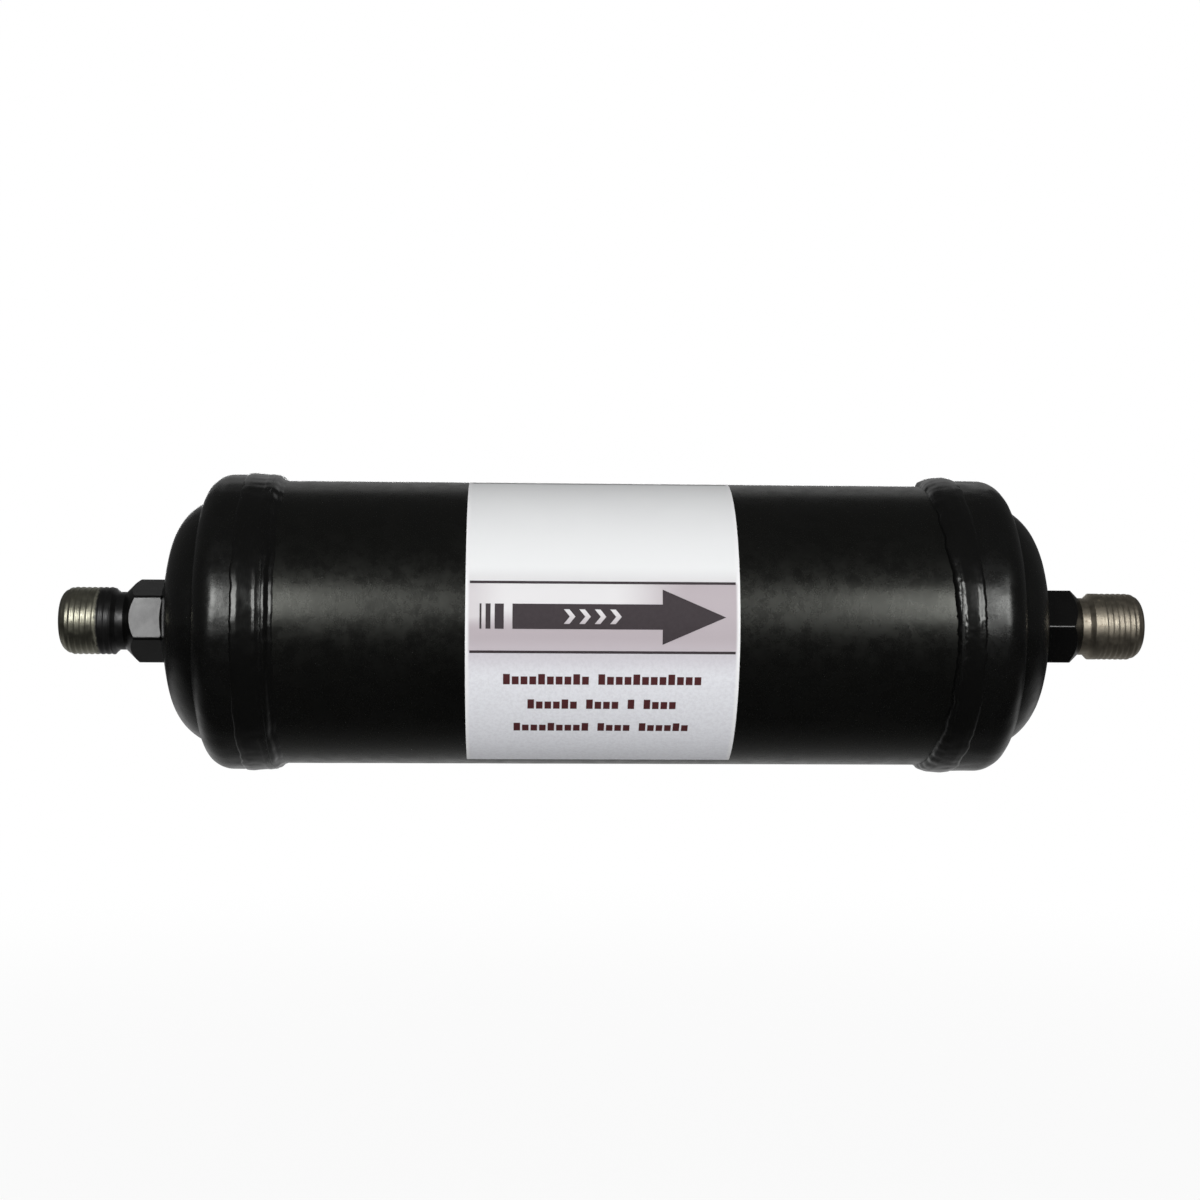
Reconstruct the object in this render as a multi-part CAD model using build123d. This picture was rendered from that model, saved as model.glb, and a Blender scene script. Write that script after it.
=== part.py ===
"""Solid-core filter drier for a refrigerant line, in millimetres.

The body's axis lies along X and its centre is the origin. Refrigerant flows
towards +X, so the inlet is at -X. +Z is up, and the label's printed front
faces -Y. A place on the round shell is given by its X and its angle: 0 is the
front, and a positive angle is higher up.
"""

import os
from math import acos, cos, degrees, pi, sin, sqrt

from build123d import *

# Shell: a seamless tube.
shell_outer_radius = 40.0
shell_wall = 1.5
shell_half_length = 97.0

# End caps: drawn steel cups pushed over the tube.
cap_wall = 1.6
cap_clearance = 0.04
cap_overlap = 4.0
cap_free_length = 8.05
cap_shoulder_radius = 7.3
dome_root_inset = 6.14
dome_root_step = 1.05
dome_knuckle_radius = 16.0
dome_crown_radius = 87.8

# Girth welds: one bead over each cap's open edge.
weld_leg_on_shell = 3.2
weld_leg_on_cap = 7.0
weld_peak_from_edge = 2.0
weld_height = 0.56

# Fittings: hexagon bar turned to a male flare, 3/4-16 UNF for a half inch tube.
# The outlet's hexagon has a corner at the front, and the inlet's is turned on.
thread_radius = 9.525
thread_length = 12.8
nose_length = 3.1
nose_wall = 1.425
neck_depth = 1.325
neck_length = 2.3
hex_over_thread = 0.795
hex_length = 11.3
hex_chamfer_length = 3.6
hex_seat_width = 2.32
inlet_hex_angle = 24.5
spigot_clearance = 0.05
spigot_reach = 4.6

# Braze round each fitting, where the hexagon meets the dome.
braze_width = 0.9
braze_height = 0.7

# Label: a printed film round the shell.
label_width = 73.1
label_centre_x = -2.75
label_low_angle = -70.0
label_wrap_angle = 150.0
label_thickness = 0.15
ink_thickness = 0.06

# Print: two rules that frame a flow arrow with bars at its tail. A rise is the
# angle from the label's lower edge, and a margin is from its left or right edge.
rule_margin = 1.15
rule_thickness = 0.7
rule_rise_angles = (59.75, 86.4)
arrow_rise_angle = 73.3
arrow_margin = 3.8
arrow_head_length = 16.9
arrow_head_height = 14.7
arrow_shaft_height = 6.7
tail_bar_widths = (0.5, 1.3, 2.4)
tail_bar_gap = 1.1
tail_bars_to_shaft = 2.3
chevron_count = 4
chevron_pitch = 4.1
chevron_stroke = 1.5
chevron_point = 1.6
chevron_height = 3.9
chevrons_from_tail = 13.6

# Print: rows of small blocks in groups, one after another down the label.
row_rise_angles = (48.4, 37.6, 26.0)
row_margins = (10.1, 16.65, 12.95)
row_group_counts = ((10, 12), (6, 4, 1, 4), (9, 4, 6))
block_height = 2.3
block_gap = 0.55
group_gap = 2.55
tall_block_step = 4
tall_block_rise = 0.7

# Desiccant core: a moulded block with a blind hole from its outlet end.
core_flow_gap = 4.0
core_bore_radius = 8.0
core_end_thickness = 18.0
core_edge_chamfer = 2.0

# What holds the core and filters the flow.
stack_side_clearance = 0.2
retainer_thickness = 1.2
retainer_side_clearance = 0.25
retainer_seat_clearance = 0.05
outlet_pad_thickness = 5.0
screen_thickness = 0.5
gasket_thickness = 2.0
gasket_bore_step = 4.0
inlet_pad_thickness = 3.0
spring_plate_thickness = 1.5

# Perforations: rings of holes round a centre hole, inside a plain rim.
plate_hole_radius = 2.4
plate_ring_count = 3
plate_rim_width = 10.4
screen_hole_radius = 1.7
screen_ring_count = 5
screen_rim_width = 8.6
ring_hole_count = 6

# Compression spring: open coil with both ends ground flat.
spring_wire_radius = 1.75
spring_to_shell_gap = 10.75
spring_installed_length = 52.0
spring_turns = 4.5
spring_seat_clearance = 0.1

# Sizes that follow from the ones above.
shell_bore_radius = shell_outer_radius - shell_wall
cap_bore_radius = shell_outer_radius + cap_clearance
cap_outer_radius = cap_bore_radius + cap_wall
cap_edge_x = shell_half_length - cap_overlap
cap_cylinder_end_x = shell_half_length + cap_free_length
dome_root_radius = cap_outer_radius - dome_root_inset
neck_radius = thread_radius - neck_depth
tip_radius = thread_radius - nose_length
port_radius = tip_radius - nose_wall
hex_flat_radius = thread_radius + hex_over_thread
hex_corner_radius = hex_flat_radius * 2 / sqrt(3)
spigot_radius = hex_flat_radius - hex_seat_width
shoulder_centre = (cap_cylinder_end_x, cap_outer_radius - cap_shoulder_radius)
knuckle_centre = (
    cap_cylinder_end_x + dome_root_step,
    dome_root_radius - dome_knuckle_radius,
)
crown_centre_x = knuckle_centre[0] - sqrt(
    (dome_crown_radius - dome_knuckle_radius) ** 2 - knuckle_centre[1] ** 2
)
spigot_hole_radius = spigot_radius + spigot_clearance
hex_base_x = crown_centre_x + sqrt(dome_crown_radius**2 - spigot_hole_radius**2)
hex_end_x = hex_base_x + hex_length
thread_start_x = hex_end_x + neck_length
thread_end_x = thread_start_x + thread_length
tip_x = thread_end_x + nose_length
label_outer_radius = shell_outer_radius + label_thickness
ink_outer_radius = label_outer_radius + ink_thickness
label_low_x = label_centre_x - label_width / 2
label_high_x = label_centre_x + label_width / 2
stack_radius = shell_bore_radius - stack_side_clearance
core_radius = shell_bore_radius - core_flow_gap
spring_outer_radius = shell_bore_radius - spring_to_shell_gap

# Faces of the core and of what lies at its outlet end.
outlet_pad_face_x = shell_half_length - screen_thickness
gasket_face_x = outlet_pad_face_x - outlet_pad_thickness
core_outlet_x = gasket_face_x - gasket_thickness


def ring_point(centre, radius, angle):
    """A point of a circle in the half-section, by its angle from the X axis."""
    return (centre[0] + radius * cos(angle), centre[1] + radius * sin(angle))


def dome_crease(inset):
    """Where the cap's shoulder meets its dome, both moved in by inset."""
    shoulder = cap_shoulder_radius - inset
    knuckle = dome_knuckle_radius - inset
    across = knuckle_centre[0] - shoulder_centre[0]
    down = knuckle_centre[1] - shoulder_centre[1]
    apart = sqrt(across**2 + down**2)
    along = (shoulder**2 - knuckle**2 + apart**2) / (2 * apart)
    aside = sqrt(shoulder**2 - along**2)
    return (
        shoulder_centre[0] + (along * across - aside * down) / apart,
        shoulder_centre[1] + (along * down + aside * across) / apart,
    )


def cap_inside_x(radius):
    """How far out the cap's inner surface lies at a radius off the axis."""
    if radius > dome_crease(cap_wall)[1]:
        centre = shoulder_centre
        arc = cap_shoulder_radius - cap_wall
    elif radius > knuckle_centre[1]:
        centre = knuckle_centre
        arc = dome_knuckle_radius - cap_wall
    else:
        centre = (crown_centre_x, 0)
        arc = dome_crown_radius - cap_wall
    return centre[0] + sqrt(arc**2 - (radius - centre[1]) ** 2)


def cap_body(inset, edge_x):
    """The room that a cap's surface encloses from edge_x on, moved in by inset."""
    shoulder = cap_shoulder_radius - inset
    knuckle = dome_knuckle_radius - inset
    crown = dome_crown_radius - inset
    crease = dome_crease(inset)
    crease_on_shoulder = acos((crease[0] - shoulder_centre[0]) / shoulder)
    crease_on_shoulder *= 1 if crease[1] > shoulder_centre[1] else -1
    crease_on_knuckle = acos((crease[0] - knuckle_centre[0]) / knuckle)
    tangent = acos(
        (knuckle_centre[0] - crown_centre_x) / (dome_crown_radius - dome_knuckle_radius)
    )
    crown_centre = (crown_centre_x, 0)
    edge = (edge_x, cap_outer_radius - inset)
    cylinder_end = (cap_cylinder_end_x, cap_outer_radius - inset)
    crown_start = ring_point(knuckle_centre, knuckle, tangent)
    apex = (crown_centre_x + crown, 0)
    shoulder_middle = (pi / 2 + crease_on_shoulder) / 2
    knuckle_middle = (crease_on_knuckle + tangent) / 2
    outline = [
        Line((edge_x, 0), edge),
        Line(edge, cylinder_end),
        ThreePointArc(
            cylinder_end, ring_point(shoulder_centre, shoulder, shoulder_middle), crease
        ),
        ThreePointArc(
            crease, ring_point(knuckle_centre, knuckle, knuckle_middle), crown_start
        ),
        ThreePointArc(crown_start, ring_point(crown_centre, crown, tangent / 2), apex),
        Line(apex, (edge_x, 0)),
    ]
    return revolve(make_face(Wire(outline)), Axis.X)


def turned(*points):
    """A solid of revolution about X from its half-section's corners."""
    return revolve(make_face(Polyline(*points, close=True)), Axis.X)


def disc(radius, low_x, high_x):
    """A plain round piece on the axis, from low_x to high_x."""
    return turned((low_x, 0), (low_x, radius), (high_x, radius), (high_x, 0))


def wrapped_patch(low_x, high_x, low_angle, high_angle, inner_radius, outer_radius):
    """A curved plate over a stretch of X and of angle; 0 is the front."""
    section = Pos((low_x + high_x) / 2, -(inner_radius + outer_radius) / 2) * Rectangle(
        high_x - low_x, outer_radius - inner_radius
    )
    return Rot(X=-high_angle) * revolve(section, Axis.X, high_angle - low_angle)


def arc_angle(length):
    """The angle that a length takes up round the label."""
    return degrees(length / label_outer_radius)


def ink_bar(low_x, high_x, rise, height):
    """A printed bar, from its middle's rise up the label and its height."""
    middle = label_low_angle + rise
    half = arc_angle(height) / 2
    return wrapped_patch(
        low_x, high_x, middle - half, middle + half, label_outer_radius, ink_outer_radius
    )


def ink_outline(outline, rise):
    """A flat outline laid round the label, from its middle's rise."""
    front = wrapped_patch(
        label_low_x, label_high_x, -90, 90, label_outer_radius, ink_outer_radius
    )
    prism = extrude(Plane.XZ * outline, ink_outer_radius)
    return Rot(X=-(label_low_angle + rise)) * (front & prism)


def perforated(piece, hole_radius, ring_count, reach, low_x, high_x):
    """The piece with rings of holes along X, the outermost ending at reach."""
    pitch = (reach - hole_radius) / ring_count
    spots = [Pos(0, 0)]
    for ring in range(1, ring_count + 1):
        spots += PolarLocations(ring * pitch, ring * ring_hole_count)
    holes = Sketch() + [spot * Circle(hole_radius) for spot in spots]
    return piece - extrude(Plane.YZ.offset(low_x) * holes, high_x - low_x)


def shell_tube():
    return turned(
        (-shell_half_length, shell_bore_radius),
        (-shell_half_length, shell_outer_radius),
        (shell_half_length, shell_outer_radius),
        (shell_half_length, shell_bore_radius),
    )


def end_cap():
    cup = cap_body(0, cap_edge_x) - cap_body(cap_wall, cap_edge_x)
    return cup - disc(spigot_hole_radius, cap_edge_x, tip_x)


def girth_weld():
    toe = (cap_edge_x - weld_leg_on_shell, shell_outer_radius)
    peak = (cap_edge_x + weld_peak_from_edge, cap_outer_radius + weld_height)
    far_toe = (cap_edge_x + weld_leg_on_cap, cap_outer_radius)
    outline = [
        TangentArc(peak, toe, tangent=(-1, 0)),
        Line(toe, (cap_edge_x, shell_outer_radius)),
        Line((cap_edge_x, shell_outer_radius), (cap_edge_x, cap_outer_radius)),
        Line((cap_edge_x, cap_outer_radius), far_toe),
        TangentArc(peak, far_toe, tangent=(1, 0)),
    ]
    return revolve(make_face(Wire(outline)), Axis.X)


def hexagon(turn):
    """The hexagon bar, with its outer end turned to a cone down to the neck."""
    prism = extrude(
        Plane.YZ.offset(hex_base_x)
        * Rot(Z=turn)
        * RegularPolygon(hex_flat_radius, 6, major_radius=False),
        hex_length,
    )
    envelope = turned(
        (hex_base_x, 0),
        (hex_base_x, hex_corner_radius),
        (hex_end_x - hex_chamfer_length, hex_corner_radius),
        (hex_end_x, neck_radius),
        (hex_end_x, 0),
    )
    return prism & envelope


def fitting(turn):
    """Spigot, hexagon, neck, barrel at the thread's crest and flare nose, in one."""
    barrel = turned(
        (hex_end_x, 0),
        (hex_end_x, neck_radius),
        (thread_start_x, neck_radius),
        (thread_start_x + neck_depth, thread_radius),
        (thread_end_x, thread_radius),
        (tip_x, tip_radius),
        (tip_x, 0),
    )
    spigot_end_x = hex_base_x - spigot_reach
    spigot = disc(spigot_radius, spigot_end_x, hex_base_x)
    port = disc(port_radius, spigot_end_x, tip_x)
    return spigot + hexagon(turn) + barrel - port


def fitting_braze(turn):
    """A fillet in the corner between the dome and the hexagon."""
    outer_radius = hex_corner_radius + braze_width
    ring = turned(
        (cap_cylinder_end_x, spigot_hole_radius),
        (cap_cylinder_end_x, outer_radius),
        (crown_centre_x + sqrt(dome_crown_radius**2 - outer_radius**2), outer_radius),
        (hex_base_x + braze_height, hex_flat_radius),
        (hex_base_x + braze_height, spigot_hole_radius),
    )
    fillet = ring - cap_body(0, cap_edge_x) - hexagon(turn)
    return fillet - disc(spigot_hole_radius, cap_cylinder_end_x, tip_x)


def label():
    return wrapped_patch(
        label_low_x,
        label_high_x,
        label_low_angle,
        label_low_angle + label_wrap_angle,
        shell_outer_radius,
        label_outer_radius,
    )


def label_rules():
    low_x = label_low_x + rule_margin
    high_x = label_high_x - rule_margin
    return Part() + [ink_bar(low_x, high_x, rise, rule_thickness) for rise in rule_rise_angles]


def tail_bar_ends():
    """The X at each end of every tail bar, and last the arrow's own tail."""
    low_x = label_low_x + arrow_margin
    ends = []
    for width in tail_bar_widths:
        ends.append((low_x, low_x + width))
        low_x += width + tail_bar_gap
    return ends, low_x - tail_bar_gap + tail_bars_to_shaft


def label_flow_arrow():
    """Shaft and head in one, with a row of chevrons left open in the shaft."""
    tail_x = tail_bar_ends()[1]
    point_x = label_high_x - arrow_margin
    neck_x = point_x - arrow_head_length
    shaft = arrow_shaft_height / 2
    head = arrow_head_height / 2
    outline = make_face(
        Polyline(
            (tail_x, -shaft),
            (neck_x, -shaft),
            (neck_x, -head),
            (point_x, 0),
            (neck_x, head),
            (neck_x, shaft),
            (tail_x, shaft),
            close=True,
        )
    )
    half = chevron_height / 2
    for step in range(chevron_count):
        start = tail_x + chevrons_from_tail + step * chevron_pitch
        outline -= make_face(
            Polyline(
                (start, -half),
                (start + chevron_stroke, -half),
                (start + chevron_stroke + chevron_point, 0),
                (start + chevron_stroke, half),
                (start, half),
                (start + chevron_point, 0),
                close=True,
            )
        )
    return ink_outline(outline, arrow_rise_angle)


def label_tail_bars():
    ends = tail_bar_ends()[0]
    return Part() + [
        ink_bar(low_x, high_x, arrow_rise_angle, arrow_shaft_height) for low_x, high_x in ends
    ]


def label_block_rows():
    """Rows of small blocks; every few blocks one stands taller than the rest."""
    blocks = []
    for rise, margin, groups in zip(row_rise_angles, row_margins, row_group_counts):
        row_length = label_width - 2 * margin
        count = sum(groups)
        gaps = (count - len(groups)) * block_gap + (len(groups) - 1) * group_gap
        block_width = (row_length - gaps) / count
        low_x = label_low_x + margin
        for group in groups:
            for place in range(group):
                taller = tall_block_rise if place % tall_block_step == 0 else 0
                lift = arc_angle(taller / 2)
                height = block_height + taller
                blocks.append(ink_bar(low_x, low_x + block_width, rise + lift, height))
                low_x += block_width + block_gap
            low_x += group_gap - block_gap
    return Part() + blocks


def spring_seats():
    """The X of the spring's two ends: against the dome, and at its plate."""
    dome_seat_x = -cap_inside_x(spring_outer_radius) + spring_seat_clearance
    return dome_seat_x, dome_seat_x + spring_installed_length


def spring_plate_x():
    """The X of the spring plate's two faces."""
    seat_x = spring_seats()[1] + spring_seat_clearance
    return seat_x, seat_x + spring_plate_thickness


def core_inlet_x():
    return spring_plate_x()[1] + screen_thickness + inlet_pad_thickness


def desiccant_core():
    inlet_x = core_inlet_x()
    core = turned(
        (inlet_x, 0),
        (inlet_x, core_radius - core_edge_chamfer),
        (inlet_x + core_edge_chamfer, core_radius),
        (core_outlet_x - core_edge_chamfer, core_radius),
        (core_outlet_x, core_radius - core_edge_chamfer),
        (core_outlet_x, 0),
    )
    return core - disc(core_bore_radius, inlet_x + core_end_thickness, core_outlet_x)


def core_gasket():
    ring = disc(stack_radius, core_outlet_x, gasket_face_x)
    bore_radius = core_bore_radius + gasket_bore_step
    return ring - disc(bore_radius, core_outlet_x, gasket_face_x)


def outlet_filter_pad():
    return disc(stack_radius, gasket_face_x, outlet_pad_face_x)


def inlet_filter_pad():
    return disc(core_radius, core_inlet_x() - inlet_pad_thickness, core_inlet_x())


def screen(low_x):
    """A round strainer disc with a ring pattern of openings."""
    high_x = low_x + screen_thickness
    reach = stack_radius - screen_rim_width
    plain = disc(stack_radius, low_x, high_x)
    return perforated(
        plain, screen_hole_radius, screen_ring_count, reach, low_x, high_x
    )


def outlet_retainer():
    """A perforated cup: it bears on the tube's end, and its rim on the cap."""
    radius = cap_bore_radius - retainer_side_clearance
    rim_x = cap_inside_x(radius) - retainer_seat_clearance
    face_x = shell_half_length + retainer_thickness
    cup = turned(
        (shell_half_length, 0),
        (shell_half_length, radius),
        (rim_x, radius),
        (rim_x, radius - retainer_thickness),
        (face_x, radius - retainer_thickness),
        (face_x, 0),
    )
    return perforated(
        cup,
        plate_hole_radius,
        plate_ring_count,
        stack_radius - plate_rim_width,
        shell_half_length,
        face_x,
    )


def spring_plate():
    low_x, high_x = spring_plate_x()
    reach = stack_radius - plate_rim_width
    plain = disc(stack_radius, low_x, high_x)
    return perforated(plain, plate_hole_radius, plate_ring_count, reach, low_x, high_x)


def compression_spring():
    """The coil between the inlet cap's dome and the spring plate."""
    low_x, high_x = spring_seats()
    length = high_x - low_x
    mean_radius = spring_outer_radius - spring_wire_radius
    coil = Plane.YZ.offset(low_x) * Helix(length / spring_turns, length, mean_radius)
    section = Plane(coil @ 0, z_dir=coil % 0) * Circle(spring_wire_radius)
    wire = sweep(section, coil, is_frenet=True)
    return wire & disc(spring_outer_radius + spring_wire_radius, low_x, high_x)


def at_inlet(piece):
    """The same piece at the other end of the drier."""
    return mirror(piece, about=Plane.YZ)


pieces = {
    "shell_tube": shell_tube(),
    "inlet_end_cap": at_inlet(end_cap()),
    "outlet_end_cap": end_cap(),
    "inlet_girth_weld": at_inlet(girth_weld()),
    "outlet_girth_weld": girth_weld(),
    "inlet_fitting": at_inlet(fitting(inlet_hex_angle)),
    "outlet_fitting": fitting(0),
    "inlet_fitting_braze": at_inlet(fitting_braze(inlet_hex_angle)),
    "outlet_fitting_braze": fitting_braze(0),
    "label": label(),
    "label_rules": label_rules(),
    "label_flow_arrow": label_flow_arrow(),
    "label_tail_bars": label_tail_bars(),
    "label_block_rows": label_block_rows(),
    "compression_spring": compression_spring(),
    "spring_plate": spring_plate(),
    "inlet_screen": screen(spring_plate_x()[1]),
    "inlet_filter_pad": inlet_filter_pad(),
    "desiccant_core": desiccant_core(),
    "core_gasket": core_gasket(),
    "outlet_filter_pad": outlet_filter_pad(),
    "outlet_screen": screen(outlet_pad_face_x),
    "outlet_retainer": outlet_retainer(),
}

os.makedirs("parts", exist_ok=True)
for name, piece in pieces.items():
    export_step(piece, f"parts/{name}.step")
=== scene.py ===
"""Filter drier: its finished surfaces, the studio round it and the camera, in metres.

The drier's axis lies along X with the inlet at -X, +Z is up and the label
faces -Y. An angle round the axis starts at +Y, the back, and rises towards +Z,
so the front is at 180 degrees. Only the label counts its angles from the
front, where 0 is, upwards. What both ends have is made as the outlet has it,
and mirrored for the inlet.
"""

from math import acos, ceil, cos, pi, radians, sin, sqrt

import bpy
from mathutils import Matrix, Vector, noise

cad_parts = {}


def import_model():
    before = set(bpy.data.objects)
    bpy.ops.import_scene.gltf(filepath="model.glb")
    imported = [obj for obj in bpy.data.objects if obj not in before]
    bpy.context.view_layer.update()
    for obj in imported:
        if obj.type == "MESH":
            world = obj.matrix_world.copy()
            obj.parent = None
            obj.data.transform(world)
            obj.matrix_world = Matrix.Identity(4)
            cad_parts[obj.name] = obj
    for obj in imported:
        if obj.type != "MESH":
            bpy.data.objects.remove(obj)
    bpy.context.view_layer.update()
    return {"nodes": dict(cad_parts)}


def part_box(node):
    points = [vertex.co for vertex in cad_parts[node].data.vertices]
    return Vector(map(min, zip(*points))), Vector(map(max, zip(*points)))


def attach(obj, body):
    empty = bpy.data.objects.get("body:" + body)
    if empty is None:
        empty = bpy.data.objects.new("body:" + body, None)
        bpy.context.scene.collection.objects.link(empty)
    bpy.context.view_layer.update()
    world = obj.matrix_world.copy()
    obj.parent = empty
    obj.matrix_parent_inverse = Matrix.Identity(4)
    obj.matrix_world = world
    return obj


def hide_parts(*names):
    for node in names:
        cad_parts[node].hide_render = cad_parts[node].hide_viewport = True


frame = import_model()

nodes = frame["nodes"]
mm = 0.001

# Camera: where it stands, which way it looks, its lens and its sensor's width in mm.
camera_place = Vector((-24.79, -547.1, 6.75)) * mm
camera_yaw = radians(2.39)
camera_roll = radians(0.374)
camera_lens = 57.4
camera_sensor = 36.0
camera_near = 0.01
camera_far = 20.0

# Fittings: their ends are read from the CAD's boxes, and the rest is as they are turned.
tip_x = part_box("outlet_fitting")[1].x
spigot_end_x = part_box("outlet_fitting")[0].x
spigot_radius = 8.0 * mm
port_radius = 5.0 * mm
port_chamfer = 0.25 * mm
nose_length = 3.1 * mm
nose_round_length = 4.0 * mm
tip_radius = 5.8 * mm
tip_edge = 0.05 * mm
tip_gap = 0.02 * mm
neck_radius = 8.2 * mm
neck_length = 2.3 * mm
neck_run_in = 0.2 * mm
barrel_in_hexagon = 0.4 * mm
barrel_step = 0.085 * mm
barrel_segments = 128

# Thread: its ridges fade in and out at both ends, and its crests are worn.
thread_radius = 9.525 * mm
thread_pitch = 1.5875 * mm
thread_depth = 0.19 * mm
thread_length = 12.8 * mm
thread_start_x = tip_x - nose_length - thread_length
thread_run_in = {"inlet": 0.2 * mm, "outlet": 3.2 * mm}
thread_run_out = 1.1 * mm
thread_fade = 0.9 * mm
groove_power = 1.4
wear_depth = 0.02 * mm
wear_along = 0.9
wear_around = 4.0
wear_seed = {"inlet": -9.0, "outlet": 9.0}

# Hexagons: chamfered towards the neck, with broken corners and a turned foot.
hex_length = 11.3 * mm
hex_flat_radius = 10.32 * mm
hex_chamfer_length = 3.6 * mm
hex_corner_break = 0.12 * mm
hex_foot_depth = 0.35 * mm
hex_foot_slope = 0.8
hex_bore_gap = 0.02 * mm
hex_angles = {"inlet": radians(24.5), "outlet": 0.0}
hex_end_x = thread_start_x - neck_length
hex_base_x = hex_end_x - hex_length
hex_step = 0.1 * mm
hex_segments = 240

# Shell: a tube whose waves only go inwards. How fast they change along it is per mm.
shell_radius = 40.0 * mm
shell_wall = 1.5 * mm
shell_wave = 0.04 * mm
shell_wave_along = 0.06
shell_wave_around = 3.0
shell_corner = 0.1 * mm
shell_plain_end = 2.0 * mm
shell_step = 3.0 * mm
shell_segments = 360

# Caps: each arc of their section as (centre x, centre radius, arc radius).
cap_radius = 41.64 * mm
cap_wall = 1.6 * mm
cap_edge_x = 93.0 * mm
cap_shoulder = (105.05 * mm, 34.34 * mm, 7.3 * mm)
cap_knuckle = (106.1 * mm, 19.5 * mm, 16.0 * mm)
cap_crown = (36.9987 * mm, 0.0, 87.8 * mm)
cap_hole_radius = 8.05 * mm
cap_outside_step = 0.45 * mm
cap_inside_step = 1.5 * mm
cap_wave = 0.13 * mm
cap_wave_fade = 25.0 * mm
cap_wave_around = 8.0
cap_wave_along = 0.07
cap_seed = {"inlet": 5.0, "outlet": 17.0}

# Girth welds: each bead's section as places (from the drier's middle, radius) in mm.
bead_sections = {
    "inlet": (
        (89.7, 39.8), (90.6, 40.25), (91.3, 40.5), (92.2, 41.3), (93.3, 41.62),
        (94.6, 41.83), (95.3, 41.76), (96.8, 41.86), (98.2, 41.98), (99.3, 42.1),
        (100.1, 42.06), (100.9, 41.93), (101.4, 41.5), (101.8, 41.15),
    ),
    "outlet": (
        (88.9, 39.8), (89.5, 40.85), (90.0, 41.25), (91.0, 41.62), (91.7, 41.86),
        (92.4, 41.96), (93.7, 42.06), (95.1, 42.15), (95.8, 42.16), (96.7, 42.07),
        (97.5, 41.97), (98.0, 41.75), (98.5, 41.4), (99.3, 41.0),
    ),
}
bead_root_radius = shell_radius - 0.5 * mm
bead_steps = 90
bead_segments = 720
bead_seed = {"inlet": 3.0, "outlet": 11.0}

# The whole bead sways round the seam. The outlet's swings towards its cap, most just below the front.
bead_sway = 0.45 * mm
bead_sway_around = 5.0
front_swing = {"inlet": 0.0, "outlet": 3.3 * mm}
front_swing_taper = 0.5
front_swing_power = 3
front_lowered = radians(10.0)

# Its passes jitter all round and are toothed at the front. Its height has ripples and a bulge at the top.
bead_jitter = {"inlet": 0.3 * mm, "outlet": 0.4 * mm}
bead_jitter_around = 13.0
bead_jitter_across = 0.12
bead_tooth = {"inlet": 0.05 * mm, "outlet": 0.26 * mm}
bead_tooth_power = 4
bead_tooth_around = 46.0
bead_tooth_across = 0.7
bead_tooth_seed = 40.0
bead_ripple = 0.08 * mm
bead_ripple_around = 16.0
bead_ripple_across = 0.25
bead_ripple_seed = 20.0
top_bulge = {"inlet": 0.0, "outlet": 0.5 * mm}
top_bulge_power = 12

# Label: where its rules lie, up from the front, and how soft its fields' edges are.
label_low, label_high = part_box("label")
upper_rule_angle = radians(16.4)
lower_rule_angle = radians(-10.25)
field_blur = 0.01

# Tints, as shares of red, green and blue.
neutral = (1.0, 1.0, 1.0)
paint_tint = (1.0, 1.0, 0.95)
shell_gloss_tint = (0.98, 1.0, 0.91)
cap_gloss_tint = (0.985, 1.0, 0.97)
inlet_steel_tint = (1.0, 0.975, 0.77)
outlet_steel_tint = (1.0, 0.90, 0.72)

# Overspray: how far along the inlet's barrel the black goes, and its ragged edge.
overspray_x = 143.2 * mm
overspray_rag = 1.6 * mm
overspray_edge_start = 0.3 * mm
overspray_edge_end = 1.4 * mm

# Studio: a pale floor and wall in a dark room. Gloss levels are what shiny surfaces see of them.
studio_half = 3.0
floor_z = -0.17
wall_y = 1.6
wall_top_z = 1.8
wall_half = 0.8
pale_level = 0.8
room_light = 0.07
near_floor_gloss = 0.02
floor_gloss = 0.5
wall_gloss = 0.35
gloss_start_y = -0.09
gloss_full_y = 0.3
gloss_full_x = 0.35
gloss_end_x = 0.75
white_share_near = 0.93
near_distance = 0.22
far_distance = 0.7

# Lamps: two tall softboxes beside the camera, one behind and a weak fill above. Angles in degrees.
softbox_distance = 1.6
softbox_elevation = 15.0
softbox_height = 0.62
left_azimuth = -22.0
left_width = 0.55
left_power = 11.0
right_azimuth = 25.3
right_width = 0.50
right_power = 9.3
rear_azimuth = 180.0
rear_elevation = 5.0
rear_distance = 1.5
rear_width = 1.0
rear_height = 0.3
rear_power = 5.0
fill_azimuth = 0.0
fill_elevation = 70.0
fill_distance = 1.4
fill_size = 0.9
fill_power = 2.6


# ---------------------------------------------------------------- materials


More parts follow.
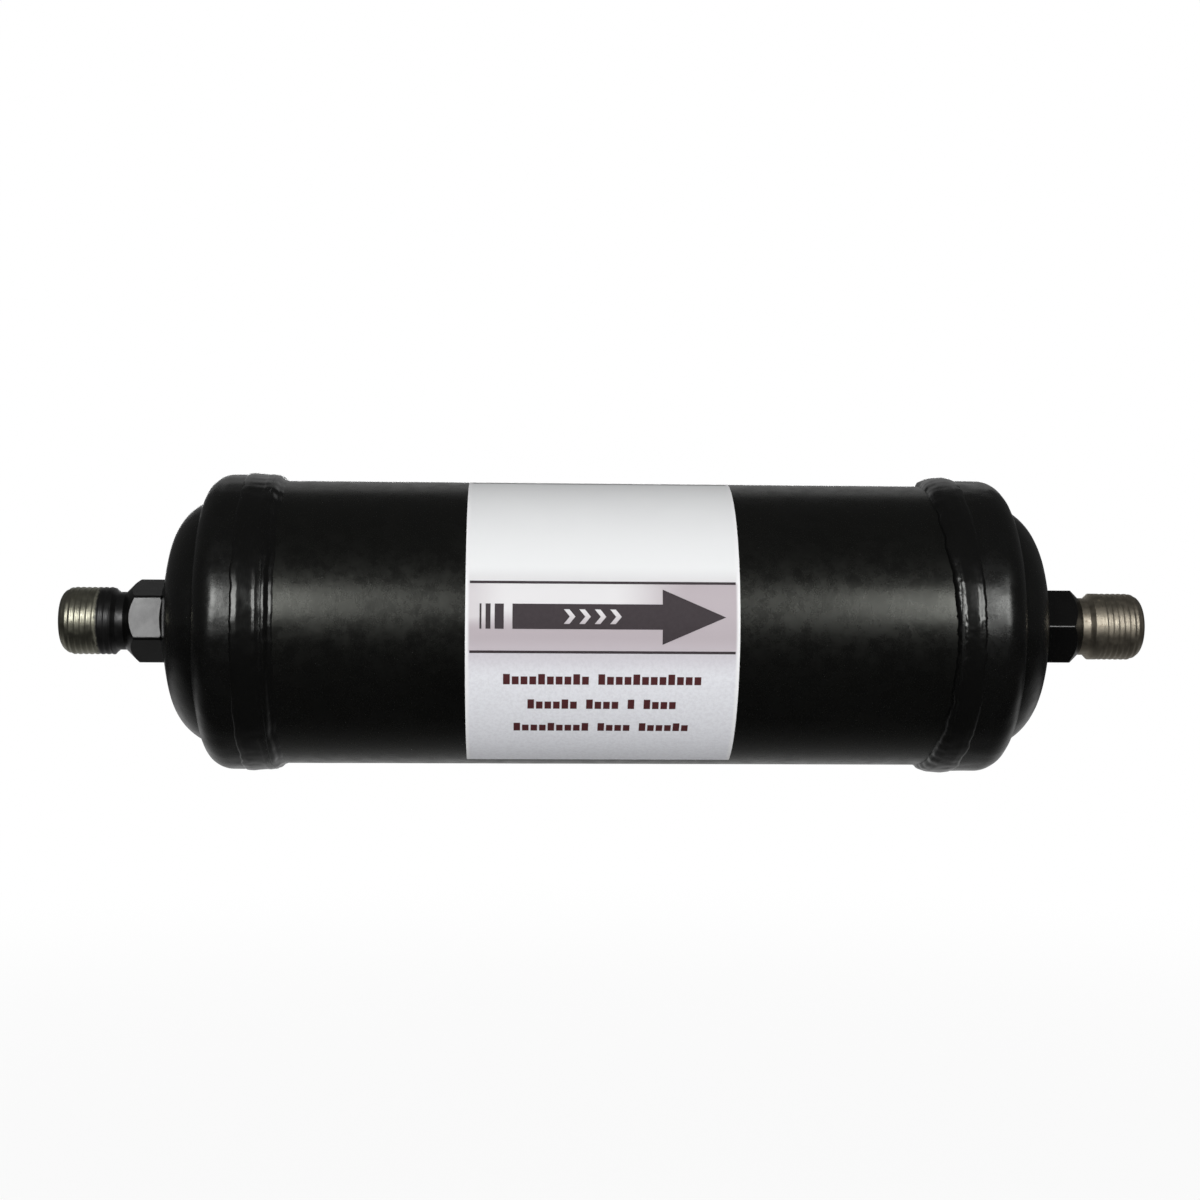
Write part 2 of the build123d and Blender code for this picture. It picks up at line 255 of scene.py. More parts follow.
class Shader:
    """Builds one procedural material: a Principled surface with a few helpers."""

    def __init__(self, name):
        self.material = bpy.data.materials.new(name)
        self.material.use_nodes = True
        self.tree = self.material.node_tree
        self.surface = self.tree.nodes["Principled BSDF"]
        coordinates = self.tree.nodes.new("ShaderNodeTexCoord")
        self.place = coordinates.outputs["Object"]

    def node(self, kind, inputs=None, **settings):
        made = self.tree.nodes.new("ShaderNode" + kind)
        for name, value in settings.items():
            setattr(made, name, value)
        for name, value in (inputs or {}).items():
            self.join(value, made.inputs[name])
        return made

    def join(self, value, socket):
        """Links an output to a socket, or sets the socket to a constant."""
        if isinstance(value, bpy.types.NodeSocket):
            self.tree.links.new(value, socket)
        else:
            socket.default_value = value

    def set(self, **values):
        """Sets inputs of the surface, whose names have _ for their spaces."""
        for name, value in values.items():
            self.join(value, self.surface.inputs[name.replace("_", " ")])

    def stretched(self, scale):
        return self.node("Mapping", {"Vector": self.place, "Scale": scale}).outputs["Vector"]

    def noise(self, scale, detail=3.0, roughness=0.55, place=None):
        made = self.node(
            "TexNoise",
            {"Vector": place or self.place, "Scale": scale, "Detail": detail, "Roughness": roughness},
        )
        return made.outputs["Fac"]

    def cells(self, scale):
        """Distance to the nearest of many scattered points."""
        return self.node("TexVoronoi", {"Vector": self.place, "Scale": scale}).outputs["Distance"]

    def remap(self, value, low, high, to_low=0.0, to_high=1.0):
        """Smooth step from to_low at low to to_high at high."""
        made = self.node(
            "MapRange",
            {"Value": value, "From Min": low, "From Max": high, "To Min": to_low, "To Max": to_high},
            interpolation_type="SMOOTHSTEP",
        )
        return made.outputs["Result"]

    def math(self, operation, first, second=0.0):
        made = self.node("Math", {0: first, 1: second}, operation=operation)
        return made.outputs["Value"]

    def mix(self, factor, first, second):
        """Colour between first, at a factor of 0, and second, at 1."""
        made = self.node("Mix", data_type="RGBA")
        self.join(factor, made.inputs["Factor"])
        self.join(first, made.inputs[6])
        self.join(second, made.inputs[7])
        return made.outputs[2]

    def axis(self, letter):
        return self.node("SeparateXYZ", {"Vector": self.place}).outputs[letter]

    def angle_from_front(self):
        """Angle up from the front of the shell, in radians."""
        forward = self.math("MULTIPLY", self.axis("Y"), -1.0)
        return self.math("ARCTAN2", self.axis("Z"), forward)

    def bump(self, *layers):
        """Stacks bumps, each of (height, distance in metres, strength)."""
        normal = None
        for height, distance, strength in layers:
            made = self.node("Bump", {"Height": height, "Distance": distance, "Strength": strength})
            if normal is not None:
                self.tree.links.new(normal, made.inputs["Normal"])
            normal = made.outputs["Normal"]
        self.tree.links.new(normal, self.surface.inputs["Normal"])


def grey(level, tint=neutral):
    return (level * tint[0], level * tint[1], level * tint[2], 1.0)


def darker(colour, share):
    return tuple(share * channel for channel in colour[:3]) + (1.0,)


def black_paint(name, gloss_tint, smoothest, roughest, peel=1.0, wrinkle=0.0):
    """Sprayed satin black with dust nibs; peel is how deep its orange peel is, and wrinkle its creases."""
    shader = Shader(name)
    haze = shader.noise(scale=38.0, detail=2.0)
    paint = shader.mix(haze, grey(0.002, paint_tint), grey(0.004, paint_tint))
    dust = shader.remap(shader.cells(scale=420.0), 0.0, 0.16, to_low=1.0, to_high=0.0)
    dust_patch = shader.remap(shader.noise(scale=90.0, detail=2.0), 0.56, 0.74)
    specks = shader.math("MULTIPLY", dust, dust_patch)
    dust_grey = grey(0.06)
    smear = shader.noise(scale=210.0, detail=5.0, roughness=0.7)
    shader.set(
        Base_Color=shader.mix(shader.math("MULTIPLY", specks, 0.2), paint, dust_grey),
        Roughness=shader.remap(smear, 0.3, 0.7, smoothest, roughest),
        Specular_Tint=grey(1.0, gloss_tint),
    )
    layers = [
        (shader.noise(scale=90.0), 0.06 * mm * peel, 0.5),
        (shader.noise(scale=260.0), 0.03 * mm * peel, 0.5),
        (shader.noise(scale=600.0, detail=2.0), 0.014 * mm * peel, 0.6),
        (shader.noise(scale=1700.0, detail=2.0), 0.005 * mm * peel, 0.6),
        (specks, 0.04 * mm, 0.5),
    ]
    if wrinkle:
        creases = shader.noise(scale=700.0, detail=4.0, roughness=0.7)
        layers.append((creases, 0.06 * mm * wrinkle, 0.7))
    shader.bump(*layers)
    return shader.material


def bare_thread_steel(name, tint, smoothest, overspray):
    """Turned steel, greyed in store, with small rust spots; overspray blackens its root end."""
    rust_brown = (0.13, 0.075, 0.04, 1.0)
    overspray_black = grey(0.004)
    shader = Shader(name)
    rust_spots = shader.remap(shader.noise(scale=480.0, detail=5.0, roughness=0.7), 0.60, 0.72)
    rust_patch = shader.remap(shader.noise(scale=120.0, detail=2.0), 0.42, 0.62)
    rust = shader.math("MULTIPLY", rust_spots, rust_patch)
    steel = shader.mix(shader.noise(scale=260.0, detail=4.0), grey(0.29, tint), grey(0.42, tint))
    colour = shader.mix(shader.math("MULTIPLY", rust, 0.7), steel, rust_brown)
    metallic = shader.remap(rust, 0.0, 1.0, to_low=1.0, to_high=0.4)
    roughness = shader.remap(shader.noise(scale=500.0), 0.3, 0.75, smoothest, smoothest + 0.14)
    if overspray:
        along = shader.math("ABSOLUTE", shader.axis("X"))
        drift = shader.noise(scale=700.0, detail=4.0, roughness=0.7)
        ragged = shader.math("ADD", along, shader.math("MULTIPLY", drift, overspray_rag))
        bare = shader.remap(ragged, overspray_x + overspray_edge_start, overspray_x + overspray_edge_end)
        colour = shader.mix(bare, overspray_black, colour)
        metallic = shader.math("MULTIPLY", metallic, bare)
    shader.set(Base_Color=colour, Metallic=metallic, Roughness=roughness)
    tool_marks = shader.noise(scale=1900.0, roughness=0.7, place=shader.stretched((3.0, 1.0, 1.0)))
    shader.bump((tool_marks, 0.012 * mm, 0.6), (rust, 0.02 * mm, 0.5))
    return shader.material


def film_above_rules(shader, angle, mottle):
    """White, greyer just over the upper rule, greyer in mottled patches high up, with painted shade
    darkening the film's top edge.
    """
    rule_grey = (0.76, 0.755, 0.765, 1.0)
    film_white = (0.875, 0.885, 0.89, 1.0)
    high_grey = (0.80, 0.805, 0.82, 1.0)
    painted_edge_shade = (0.30, 0.30, 0.31, 1.0)
    clear_of_rule = shader.remap(angle, upper_rule_angle, upper_rule_angle + radians(7.0))
    # Greyer in mottled patches from 30 degrees up.
    high_up = shader.remap(angle, radians(30.0), radians(50.0), to_high=0.3)
    high_grey_share = shader.math("MULTIPLY", high_up, shader.remap(mottle, 0.25, 0.75))
    # Painted shade: the film turns dark grey over its last few degrees at the top.
    top_edge_shade = shader.remap(angle, radians(76.5), radians(78.5))
    colour = shader.mix(clear_of_rule, rule_grey, film_white)
    colour = shader.mix(high_grey_share, colour, high_grey)
    return shader.mix(top_edge_shade, colour, painted_edge_shade)


def film_between_rules(shader, angle, x):
    """Mauve band, pale above the left part of the arrow's shaft and paler at its foot."""
    band_pale = (0.80, 0.79, 0.80, 1.0)
    band_mauve = (0.50, 0.445, 0.475, 1.0)
    foot_mauve = (0.66, 0.61, 0.655, 1.0)
    right = shader.remap(x, label_low.x + 38.0 * mm, label_low.x + 60.0 * mm)
    left = shader.remap(x, label_low.x + 12.0 * mm, label_low.x, to_high=0.45)
    low = shader.remap(angle, radians(7.0), radians(-2.0))
    mauve_share = shader.math("MAXIMUM", shader.math("MAXIMUM", left, low), right)
    foot = shader.remap(angle, radians(-4.0), lower_rule_angle, to_high=0.4)
    colour = shader.mix(mauve_share, band_pale, band_mauve)
    return shader.mix(foot, colour, foot_mauve)


def film_below_rules(shader, angle):
    """Bluish white with grey speckles, mauver just under the lower rule."""
    rule_mauve = (0.66, 0.635, 0.68, 1.0)
    bluish_white = (0.83, 0.84, 0.88, 1.0)
    speckle_grey = (0.52, 0.50, 0.54, 1.0)
    clear_of_rule = shader.remap(angle, lower_rule_angle, radians(-21.0))
    speckle = shader.remap(shader.noise(scale=1100.0, detail=2.0, roughness=0.7), 0.35, 0.7)
    colour = shader.mix(clear_of_rule, rule_mauve, bluish_white)
    return shader.mix(shader.math("MULTIPLY", speckle, 0.22), colour, speckle_grey)


def label_film():
    """Printed film: three fields one over the other, and a white margin at both sides."""
    margin_white = (0.90, 0.90, 0.91, 1.0)
    shader = Shader("printed_film")
    angle = shader.angle_from_front()
    x = shader.axis("X")
    mottle = shader.noise(scale=45.0, detail=2.0)

    above = shader.remap(angle, upper_rule_angle - field_blur, upper_rule_angle + field_blur)
    below = shader.remap(angle, lower_rule_angle + field_blur, lower_rule_angle - field_blur)
    upper = film_above_rules(shader, angle, mottle)
    band = film_between_rules(shader, angle, x)
    lower = film_below_rules(shader, angle)
    colour = shader.mix(below, shader.mix(above, band, upper), lower)

    half_width = (label_high.x - label_low.x) / 2
    middle_x = (label_high.x + label_low.x) / 2
    from_middle = shader.math("ABSOLUTE", shader.math("SUBTRACT", x, middle_x))
    margin = shader.remap(from_middle, half_width - 1.3 * mm, half_width - 0.4 * mm)
    shader.set(
        Base_Color=shader.mix(margin, colour, margin_white),
        Roughness=shader.remap(mottle, 0.3, 0.7, 0.34, 0.42),
        Specular_IOR_Level=0.35,
    )
    shader.bump((shader.noise(scale=300.0, detail=2.0), 0.02 * mm, 0.5))
    return shader.material


def ink(name, colour):
    """Printed ink, a little uneven."""
    shader = Shader(name)
    shader.set(
        Base_Color=shader.mix(shader.noise(scale=900.0), darker(colour, 0.72), colour),
        Roughness=0.55,
        Specular_IOR_Level=0.2,
    )
    shader.bump((shader.noise(scale=1200.0, detail=2.0), 0.01 * mm, 0.4))
    return shader.material


def drawn_steel(name, colour, roughness, grain_scale, stretch):
    """Plain steel with a grain that follows how it was drawn or rolled."""
    shader = Shader(name)
    grain = shader.noise(grain_scale, detail=4.0, roughness=0.6, place=shader.stretched(stretch))
    shader.set(
        Base_Color=shader.mix(grain, darker(colour, 0.75), colour),
        Metallic=1.0,
        Roughness=shader.remap(grain, 0.3, 0.7, roughness - 0.06, roughness + 0.08),
    )
    shader.bump((grain, 0.03 * mm, 0.5))
    return shader.material


def felt():
    """Pressed fibre with a tangled surface."""
    shader = Shader("pressed_felt")
    fibres = shader.noise(scale=1400.0, detail=6.0, roughness=0.8)
    shader.set(
        Base_Color=shader.mix(fibres, (0.55, 0.52, 0.45, 1.0), (0.83, 0.80, 0.72, 1.0)),
        Roughness=0.95,
        Sheen_Weight=0.3,
    )
    shader.bump((fibres, 0.4 * mm, 0.8))
    return shader.material


def desiccant_block():
    """Bonded desiccant beads, pale and gritty, with painted shade darkening the gaps between them."""
    shader = Shader("bonded_desiccant")
    beads_and_gap_shade = shader.cells(scale=900.0)
    # Painted shade: each bead darkens towards its edges, in the gaps between beads.
    shader.set(
        Base_Color=shader.mix(beads_and_gap_shade, (0.75, 0.71, 0.62, 1.0), (0.42, 0.38, 0.31, 1.0)),
        Roughness=0.9,
    )
    shader.bump((shader.math("SUBTRACT", 1.0, beads_and_gap_shade), 0.5 * mm, 0.7))
    return shader.material


def dress(material, *node_names):
    """Gives CAD nodes a material in all their slots."""
    for node_name in node_names:
        node = nodes[node_name]
        if not node.material_slots:
            node.data.materials.append(material)
        for material_slot in node.material_slots:
            material_slot.material = material


# ------------------------------------------------------------------- meshes


def add_mesh(name, points, faces, material, smooth=True):
    mesh = bpy.data.meshes.new(name)
    mesh.from_pydata(points, [], faces)
    mesh.update()
    mesh.validate()
    if smooth:
        mesh.shade_smooth()
    piece = bpy.data.objects.new(name, mesh)
    bpy.context.scene.collection.objects.link(piece)
    mesh.materials.append(material)
    return piece


def steps(start, end, size):
    """Even steps from start to end, both included, no longer than size."""
    count = max(1, ceil(abs(end - start) / size))
    return [start + (end - start) * i / count for i in range(count + 1)]


def clamped(share):
    return min(1.0, max(0.0, share))


def angles_round(segments):
    return [2 * pi * j / segments for j in range(segments)]


def round_point(x, radius, angle):
    return (x, radius * cos(angle), radius * sin(angle))


def circle(x, radius, segments):
    return [round_point(x, radius, angle) for angle in angles_round(segments)]


def noise_round(angle, frequency, depth):
    """Smooth noise between about -1 and 1 that meets itself after a turn."""
    return noise.noise(Vector((cos(angle) * frequency, sin(angle) * frequency, depth)))


def noise_along(along, angle, frequency, seed=0.0):
    """The same, for what also changes along the axis."""
    return noise.noise(Vector((along, cos(angle) * frequency, sin(angle) * frequency + seed)))


def ringed_solid(rings):
    """Closed solid through rings of equal length, the last joined to the first."""
    count = len(rings[0])
    points = [point for ring in rings for point in ring]
    faces = []
    for i in range(len(rings)):
        here = i * count
        there = (i + 1) % len(rings) * count
        for j in range(count):
            k = (j + 1) % count
            faces.append((here + j, here + k, there + k, there + j))
    return points, faces


def end_solid(side, rings):
    """The outlet's solid through rings, or its mirror image with the faces turned to face out."""
    points, faces = ringed_solid(rings)
    if side == "outlet":
        return points, faces
    return [(-x, y, z) for x, y, z in points], [tuple(reversed(face)) for face in faces]


# ----------------------------------------------------------- shell and caps


def shell(material):
    """Tube of the shell, a little wavy as tube is, and never proud of its radius."""
    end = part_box("shell_tube")[1].x
    plain_end = end - shell_plain_end
    middle = steps(-plain_end, plain_end, shell_step)
    rings = []
    for x in [-end, -end + shell_corner] + middle + [end - shell_corner, end]:
        ring = []
        for angle in angles_round(shell_segments):
            bend = noise_along(x / mm * shell_wave_along, angle, shell_wave_around)
            ring.append(round_point(x, shell_radius - shell_wave * (0.5 + 0.5 * bend), angle))
        rings.append(ring)
    for x in (end, end - shell_corner, -end + shell_corner, -end):
        rings.append(circle(x, shell_radius - shell_wall, shell_segments))
    piece = add_mesh("drawn_shell", *ringed_solid(rings), material)
    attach(piece, "root")
    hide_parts("shell_tube")


def arc_section(arc, start, end, size):
    """Places along an arc from angle start to end, as (x, radius, outward x, outward radius)."""
    centre_x, centre_radius, radius = arc
    angles = steps(start, end, size / radius)
    return [(centre_x + radius * cos(a), centre_radius + radius * sin(a), cos(a), sin(a)) for a in angles]


def cap_section(inset, size):
    """A cap's surface from its open edge to the hole for the fitting, moved in by inset."""
    arcs = (cap_shoulder, cap_knuckle, cap_crown)
    shoulder, knuckle, crown = [(x, radius, arc - inset) for x, radius, arc in arcs]

    # The shoulder's circle meets the knuckle's in the crease, at the outer of their two crossings.
    across = knuckle[0] - shoulder[0]
    down = knuckle[1] - shoulder[1]
    apart = sqrt(across**2 + down**2)
    along = (shoulder[2] ** 2 - knuckle[2] ** 2 + apart**2) / (2 * apart)
    aside = sqrt(shoulder[2] ** 2 - along**2)
    crease_x = shoulder[0] + (along * across - aside * down) / apart
    crease_radius = shoulder[1] + (along * down + aside * across) / apart
    crease_on_shoulder = acos((crease_x - shoulder[0]) / shoulder[2])
    if crease_radius < shoulder[1]:
        crease_on_shoulder = -crease_on_shoulder
    crease_on_knuckle = acos((crease_x - knuckle[0]) / knuckle[2])

    tangent = acos((knuckle[0] - crown[0]) / (crown[2] - knuckle[2]))
    hole = pi / 2 - acos(cap_hole_radius / crown[2])
    wall = [(x, cap_radius - inset, 0.0, 1.0) for x in steps(cap_edge_x, shoulder[0], size)[:-1]]
    return (
        wall
        + arc_section(shoulder, pi / 2, crease_on_shoulder, size)
        + arc_section(knuckle, crease_on_knuckle, tangent, size)[1:]
        + arc_section(crown, tangent, hole, 2 * size)[1:]
    )


def end_cap(side, material):
    """Drawn cap, slightly uneven from its drawing and its weld, and even at the fitting."""
    outside = cap_section(0.0, cap_outside_step)
    hole_x = outside[-1][0]
    rings = []
    for number, (x, radius, out_x, out_radius) in enumerate(outside):
        depth = cap_seed[side] + number * cap_wave_along
        ring = []
        for angle in angles_round(shell_segments):
            wave = cap_wave * noise_round(angle, cap_wave_around, depth)
            wave *= clamped((hole_x - x) / cap_wave_fade)
            ring.append(round_point(x + out_x * wave, radius + out_radius * wave, angle))
        rings.append(ring)
    for place in reversed(cap_section(cap_wall, cap_inside_step)):
        rings.append(circle(place[0], place[1], shell_segments))
    piece = add_mesh(side + "_drawn_cap", *end_solid(side, rings), material)
    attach(piece, "root")
    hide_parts(side + "_end_cap")


# ----------------------------------------------------------------- fittings


def blank_radius(x):
    """Radius of the turned blank from the neck to the rounded tip."""
    run_in = neck_radius + (x - (thread_start_x - neck_run_in))
    share = clamped((x - (tip_x - nose_round_length)) / nose_round_length)
    nose = tip_radius + (thread_radius - tip_radius) * sqrt(1.0 - share**2)
    return min(max(neck_radius, run_in), nose)


def thread_radius_at(x, angle, side):
    """Radius of the barrel's surface, with worn crests and run-outs."""
    turn = angle / (2 * pi) - x / thread_pitch
    groove = (0.5 - 0.5 * cos(2 * pi * turn)) ** groove_power
    fade_in = clamped((x - (thread_start_x + thread_run_in[side])) / thread_fade)
    fade_out = clamped((tip_x - thread_run_out - x) / thread_fade)
    worn = noise_along(x / mm * wear_along, angle, wear_around, wear_seed[side])
    return blank_radius(x) - thread_depth * groove * fade_in * fade_out + wear_depth * worn * fade_in


def barrel(side, material):
    """Threaded barrel with its rounded nose and its port."""
    barrel_start_x = hex_end_x - barrel_in_hexagon
    rings = []
    for x in steps(barrel_start_x, tip_x - tip_gap, barrel_step):
        if x < thread_start_x - neck_run_in:
            rings.append(circle(x, neck_radius, barrel_segments))
            continue
        ring = []
        for angle in angles_round(barrel_segments):
            ring.append(round_point(x, thread_radius_at(x, angle, side), angle))
        rings.append(ring)
    bore = (
        (tip_x, tip_radius + tip_edge),
        (tip_x, port_radius + port_chamfer),
        (tip_x - port_chamfer, port_radius),
        (barrel_start_x, port_radius),
    )
    for x, radius in bore:
        rings.append(circle(x, radius, barrel_segments))
    return add_mesh(side + "_threaded_barrel", *end_solid(side, rings), material)


def hexagon_radius(x, angle, turn):
    """Radius of the chamfered hexagon at an angle round the axis."""
    around = (angle - turn + pi / 6) % (pi / 3) - pi / 6
    flat = hex_flat_radius / cos(around)
    corner = hex_flat_radius / cos(pi / 6) - hex_corner_break
    into_chamfer = max(0.0, x - (hex_end_x - hex_chamfer_length))
    chamfer = corner - into_chamfer * (corner - neck_radius) / hex_chamfer_length
    foot = corner - hex_foot_depth + (x - hex_base_x) * hex_foot_slope
    return min(flat, corner, chamfer, foot)


def hexagon_body(side, material):
    """Painted part of a fitting: the hexagon, and the spigot in the cap."""
    turn = pi / 6 + hex_angles[side]
    rings = []
    for x in steps(hex_base_x, hex_end_x, hex_step):
        ring = []
        for angle in angles_round(hex_segments):
            ring.append(round_point(x, hexagon_radius(x, angle, turn), angle))
        rings.append(ring)
    bore_and_spigot = (
        (hex_end_x, port_radius + hex_bore_gap),
        (spigot_end_x, port_radius),
        (spigot_end_x, spigot_radius),
        (hex_base_x, spigot_radius),
    )
    for x, radius in bore_and_spigot:
        rings.append(circle(x, radius, hex_segments))
    return add_mesh(side + "_hexagon", *end_solid(side, rings), material)


def fitting(side, paint, steel):
    for piece in (hexagon_body(side, paint), barrel(side, steel)):
        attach(piece, "root")
        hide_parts(side + "_fitting")


# -------------------------------------------------------------- girth welds


def curve_through(places, x):
    """Height at x of the smooth curve through places, given by rising x."""
    last = len(places) - 2
    i = 0
    while i < last and x > places[i + 1][0]:
        i += 1
    (x1, y1), (x2, y2) = places[i], places[i + 1]
    x0, y0 = places[max(0, i - 1)]
    x3, y3 = places[min(len(places) - 1, i + 2)]
    width = x2 - x1
    slope1 = (y2 - y0) / (x2 - x0) * width
    slope2 = (y3 - y1) / (x3 - x1) * width
    t = (x - x1) / width
    return (
        (2 * t**3 - 3 * t**2 + 1) * y1
        + (t**3 - 2 * t**2 + t) * slope1
        + (3 * t**2 - 2 * t**3) * y2
        + (t**3 - t**2) * slope2
    )


def bead_place(across, angle, side):
    """The bead's (x, radius) at a share of its width, with its sway and the ripples of its passes."""
    section = bead_sections[side]
    start, end = section[0][0], section[-1][0]
    x = start + (end - start) * across
    seed = bead_seed[side]
    at_front = max(0.0, -cos(angle - front_lowered))
    at_top = max(0.0, sin(angle)) ** top_bulge_power

    sway = bead_sway * noise_round(angle, bead_sway_around, seed)
    sway += front_swing[side] * (1.0 - front_swing_taper * across) * at_front**front_swing_power
    jitter = bead_jitter[side] * noise_round(angle, bead_jitter_around, seed + x * bead_jitter_across)
    teeth = noise_round(angle, bead_tooth_around, seed + bead_tooth_seed + x * bead_tooth_across)
    jitter += bead_tooth[side] * at_front**bead_tooth_power * teeth

    ripple = noise_round(angle, bead_ripple_around, seed + bead_ripple_seed + x * bead_ripple_across)
    lift = bead_ripple * ripple + top_bulge[side] * at_top
    return x * mm + sway + jitter, curve_through(section, x) * mm + lift * sin(pi * across)


def girth_weld(side, material):
    """Weld bead over the cap's open edge, sunk into the cap and the shell at its edges."""
    around = angles_round(bead_segments)
    rings = []
    for across in steps(0.0, 1.0, 1 / bead_steps):
        rings.append([round_point(*bead_place(across, angle, side), angle) for angle in around])
    section = bead_sections[side]
    for x in (section[-1][0], section[0][0]):
        rings.append(circle(x * mm, bead_root_radius, bead_segments))
    piece = add_mesh(side + "_weld_bead", *end_solid(side, rings), material)
    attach(piece, "root")
    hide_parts(side + "_girth_weld")


# ------------------------------------------------------------------- studio


def studio_material(name, white_near, front_gloss, rear_gloss):
    """Pale surface that shows the drier's shadow near it, and is plain white to the camera far off.

    Mirrored rays see a glow: front_gloss in front and well to the sides, rear_gloss behind the drier.
    """
    shader = Shader(name)
    shader.set(Base_Color=grey(pale_level), Roughness=0.9, Specular_IOR_Level=0.2)
    rays = shader.node("LightPath").outputs
    behind = shader.remap(shader.axis("Y"), gloss_start_y, gloss_full_y)
    sideways = shader.math("ABSOLUTE", shader.axis("X"))
    beside = shader.remap(sideways, gloss_full_x, gloss_end_x, rear_gloss, front_gloss)
    gloss_level = shader.math("MAXIMUM", shader.math("MULTIPLY", behind, beside), front_gloss)
    distance = shader.node("VectorMath", {0: shader.place}, operation="LENGTH").outputs["Value"]
    white_share = shader.remap(distance, near_distance, far_distance, white_near, 1.0)
    mirrored = shader.math("MAXIMUM", rays["Is Glossy Ray"], rays["Is Transmission Ray"])
    seen = shader.math("MULTIPLY", rays["Is Camera Ray"], white_share)
    level = shader.math("MAXIMUM", rays["Is Camera Ray"], gloss_level)
    glow = shader.node("Emission", {"Color": grey(1.0), "Strength": level})
    mixed = shader.node("MixShader", {"Fac": shader.math("MAXIMUM", seen, mirrored)})
    shader.join(shader.surface.outputs["BSDF"], mixed.inputs[1])
    shader.join(glow.outputs["Emission"], mixed.inputs[2])
    shader.join(mixed.outputs["Shader"], shader.tree.nodes["Material Output"].inputs["Surface"])
    return shader.material


def studio():
    """Pale floor well below the drier and a pale wall behind it."""
    floor_corners = [
        (-studio_half, -studio_half, floor_z),
        (studio_half, -studio_half, floor_z),
        (studio_half, wall_y, floor_z),
        (-studio_half, wall_y, floor_z),
    ]
    wall_corners = [
        (-wall_half, wall_y, floor_z),
        (wall_half, wall_y, floor_z),
        (wall_half, wall_y, wall_top_z),
        (-wall_half, wall_y, wall_top_z),
    ]
    pale_floor = studio_material("pale_floor", white_share_near, near_floor_gloss, floor_gloss)
    pale_wall = studio_material("pale_wall", 1.0, wall_gloss, wall_gloss)
    add_mesh("studio_floor", floor_corners, [(0, 1, 2, 3)], pale_floor, smooth=False)
    add_mesh("studio_wall", wall_corners, [(3, 2, 1, 0)], pale_wall, smooth=False)


def world():
    """Dark room round the lamps, white where the camera sees past the studio."""
    made = bpy.data.worlds.new("studio")
    made.use_nodes = True
    tree = made.node_tree
    tree.nodes.clear()
    rays = tree.nodes.new("ShaderNodeLightPath")
    mixed = tree.nodes.new("ShaderNodeMixShader")
    out = tree.nodes.new("ShaderNodeOutputWorld")
    tree.links.new(rays.outputs["Is Camera Ray"], mixed.inputs["Fac"])
    for place, strength in ((1, room_light), (2, 1.0)):
        background = tree.nodes.new("ShaderNodeBackground")
        background.inputs["Color"].default_value = grey(1.0)
        background.inputs["Strength"].default_value = strength
        tree.links.new(background.outputs["Background"], mixed.inputs[place])
    tree.links.new(mixed.outputs["Shader"], out.inputs["Surface"])
    bpy.context.scene.world = made


def lamp(name, azimuth, elevation, distance, width, height, power):
    """Soft lamp that faces the drier's middle; azimuth 0 is in front, and a positive one to the right."""
    data = bpy.data.lights.new(name, "AREA")
    data.shape = "RECTANGLE"
    data.size = width
    data.size_y = height
    data.energy = power
    made = bpy.data.objects.new(name, data)
    turn = radians(azimuth)
    rise = radians(elevation)
    away = Vector((sin(turn) * cos(rise), -cos(turn) * cos(rise), sin(rise)))
    made.location = away * distance
    made.rotation_mode = "QUATERNION"
    made.rotation_quaternion = away.to_track_quat("Z", "Y")
    made.visible_camera = False
    bpy.context.scene.collection.objects.link(made)
    return made


def softbox(name, azimuth, width, power):
    """Tall lamp beside the camera."""
    lamp(name, azimuth, softbox_elevation, softbox_distance, width, softbox_height, power)


def lamps():
    softbox("left_softbox", left_azimuth, left_width, left_power)
    softbox("right_softbox", right_azimuth, right_width, right_power)
    lamp("rear_softbox", rear_azimuth, rear_elevation, rear_distance, rear_width, rear_height, rear_power)
    overhead = lamp(
        "overhead_fill", fill_azimuth, fill_elevation, fill_distance, fill_size, fill_size, fill_power
    )
    overhead.visible_glossy = False


def camera():
    """The photograph's camera, level apart from a slight roll."""
    data = bpy.data.cameras.new("camera")
    data.lens = camera_lens
    data.sensor_width = camera_sensor
    data.clip_start = camera_near
    data.clip_end = camera_far
    made = bpy.data.objects.new("camera", data)
    forward = Vector((sin(camera_yaw), cos(camera_yaw), 0.0))
    level = Vector((cos(camera_yaw), -sin(camera_yaw), 0.0))
    up = Vector((0.0, 0.0, 1.0))
    right = level * cos(camera_roll) + up * sin(camera_roll)
    top = up * cos(camera_roll) - level * sin(camera_roll)
    made.matrix_world = Matrix(
        (
            (right.x, top.x, -forward.x, camera_place.x),
            (right.y, top.y, -forward.y, camera_place.y),
            (right.z, top.z, -forward.z, camera_place.z),
            (0.0, 0.0, 0.0, 1.0),
        )
    )
    bpy.context.scene.collection.objects.link(made)
    bpy.context.scene.camera = made


# --------------------------------------------------------------- the drier


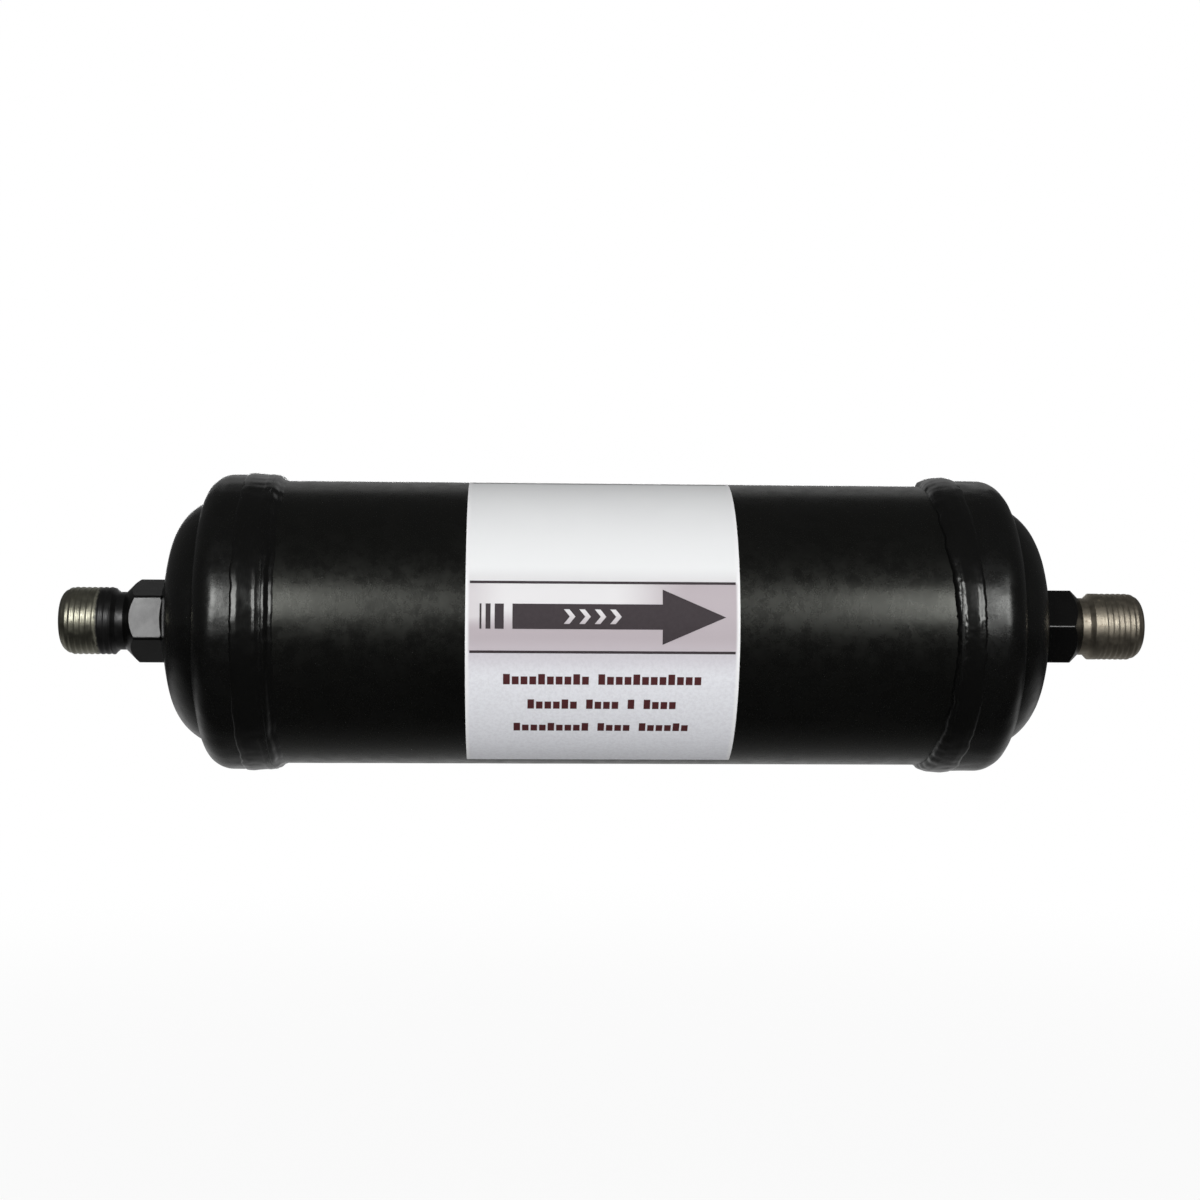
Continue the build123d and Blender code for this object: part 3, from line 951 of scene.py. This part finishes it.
def dress_inside():
    """Gives the pieces inside the drier their materials."""
    spring_steel = drawn_steel(
        "spring_steel", (0.42, 0.42, 0.43, 1.0), roughness=0.32, grain_scale=500.0, stretch=(1.0, 6.0, 6.0)
    )
    plate_steel = drawn_steel(
        "plate_steel", (0.60, 0.59, 0.56, 1.0), roughness=0.36, grain_scale=300.0, stretch=(1.0, 8.0, 1.0)
    )
    screen_steel = drawn_steel(
        "screen_steel", (0.66, 0.66, 0.65, 1.0), roughness=0.30, grain_scale=900.0, stretch=(1.0, 1.0, 4.0)
    )
    dress(spring_steel, "compression_spring")
    dress(plate_steel, "spring_plate", "outlet_retainer")
    dress(screen_steel, "inlet_screen", "outlet_screen")
    dress(felt(), "inlet_filter_pad", "outlet_filter_pad", "core_gasket")
    dress(desiccant_block(), "desiccant_core")


def dress_label():
    """Gives the label and its print their materials."""
    dark_ink = ink("dark_ink", (0.056, 0.044, 0.050, 1.0))
    red_ink = ink("brown_red_ink", (0.095, 0.024, 0.026, 1.0))
    dress(label_film(), "label")
    dress(dark_ink, "label_flow_arrow", "label_tail_bars", "label_rules")
    dress(red_ink, "label_block_rows")


shell_paint = black_paint(
    "black_paint_on_shell", shell_gloss_tint, smoothest=0.22, roughest=0.33, peel=1.3
)
cap_paint = black_paint(
    "black_paint_on_caps", cap_gloss_tint, smoothest=0.21, roughest=0.32, peel=2.2, wrinkle=0.3
)
bead_paint = black_paint(
    "black_paint_on_bead", cap_gloss_tint, smoothest=0.17, roughest=0.25, peel=1.2, wrinkle=0.25
)
fitting_paint = black_paint("black_paint_on_fittings", neutral, smoothest=0.20, roughest=0.26)
thread_steels = {
    "inlet": bare_thread_steel("thread_steel_with_overspray", inlet_steel_tint, 0.32, overspray=True),
    "outlet": bare_thread_steel("thread_steel", outlet_steel_tint, 0.40, overspray=False),
}

dress(bead_paint, "inlet_fitting_braze", "outlet_fitting_braze")
dress_label()
dress_inside()

shell(shell_paint)
for side in ("inlet", "outlet"):
    end_cap(side, cap_paint)
    fitting(side, fitting_paint, thread_steels[side])
    girth_weld(side, bead_paint)

studio()
world()
lamps()
camera()
bpy.context.scene.view_settings.view_transform = "Standard"
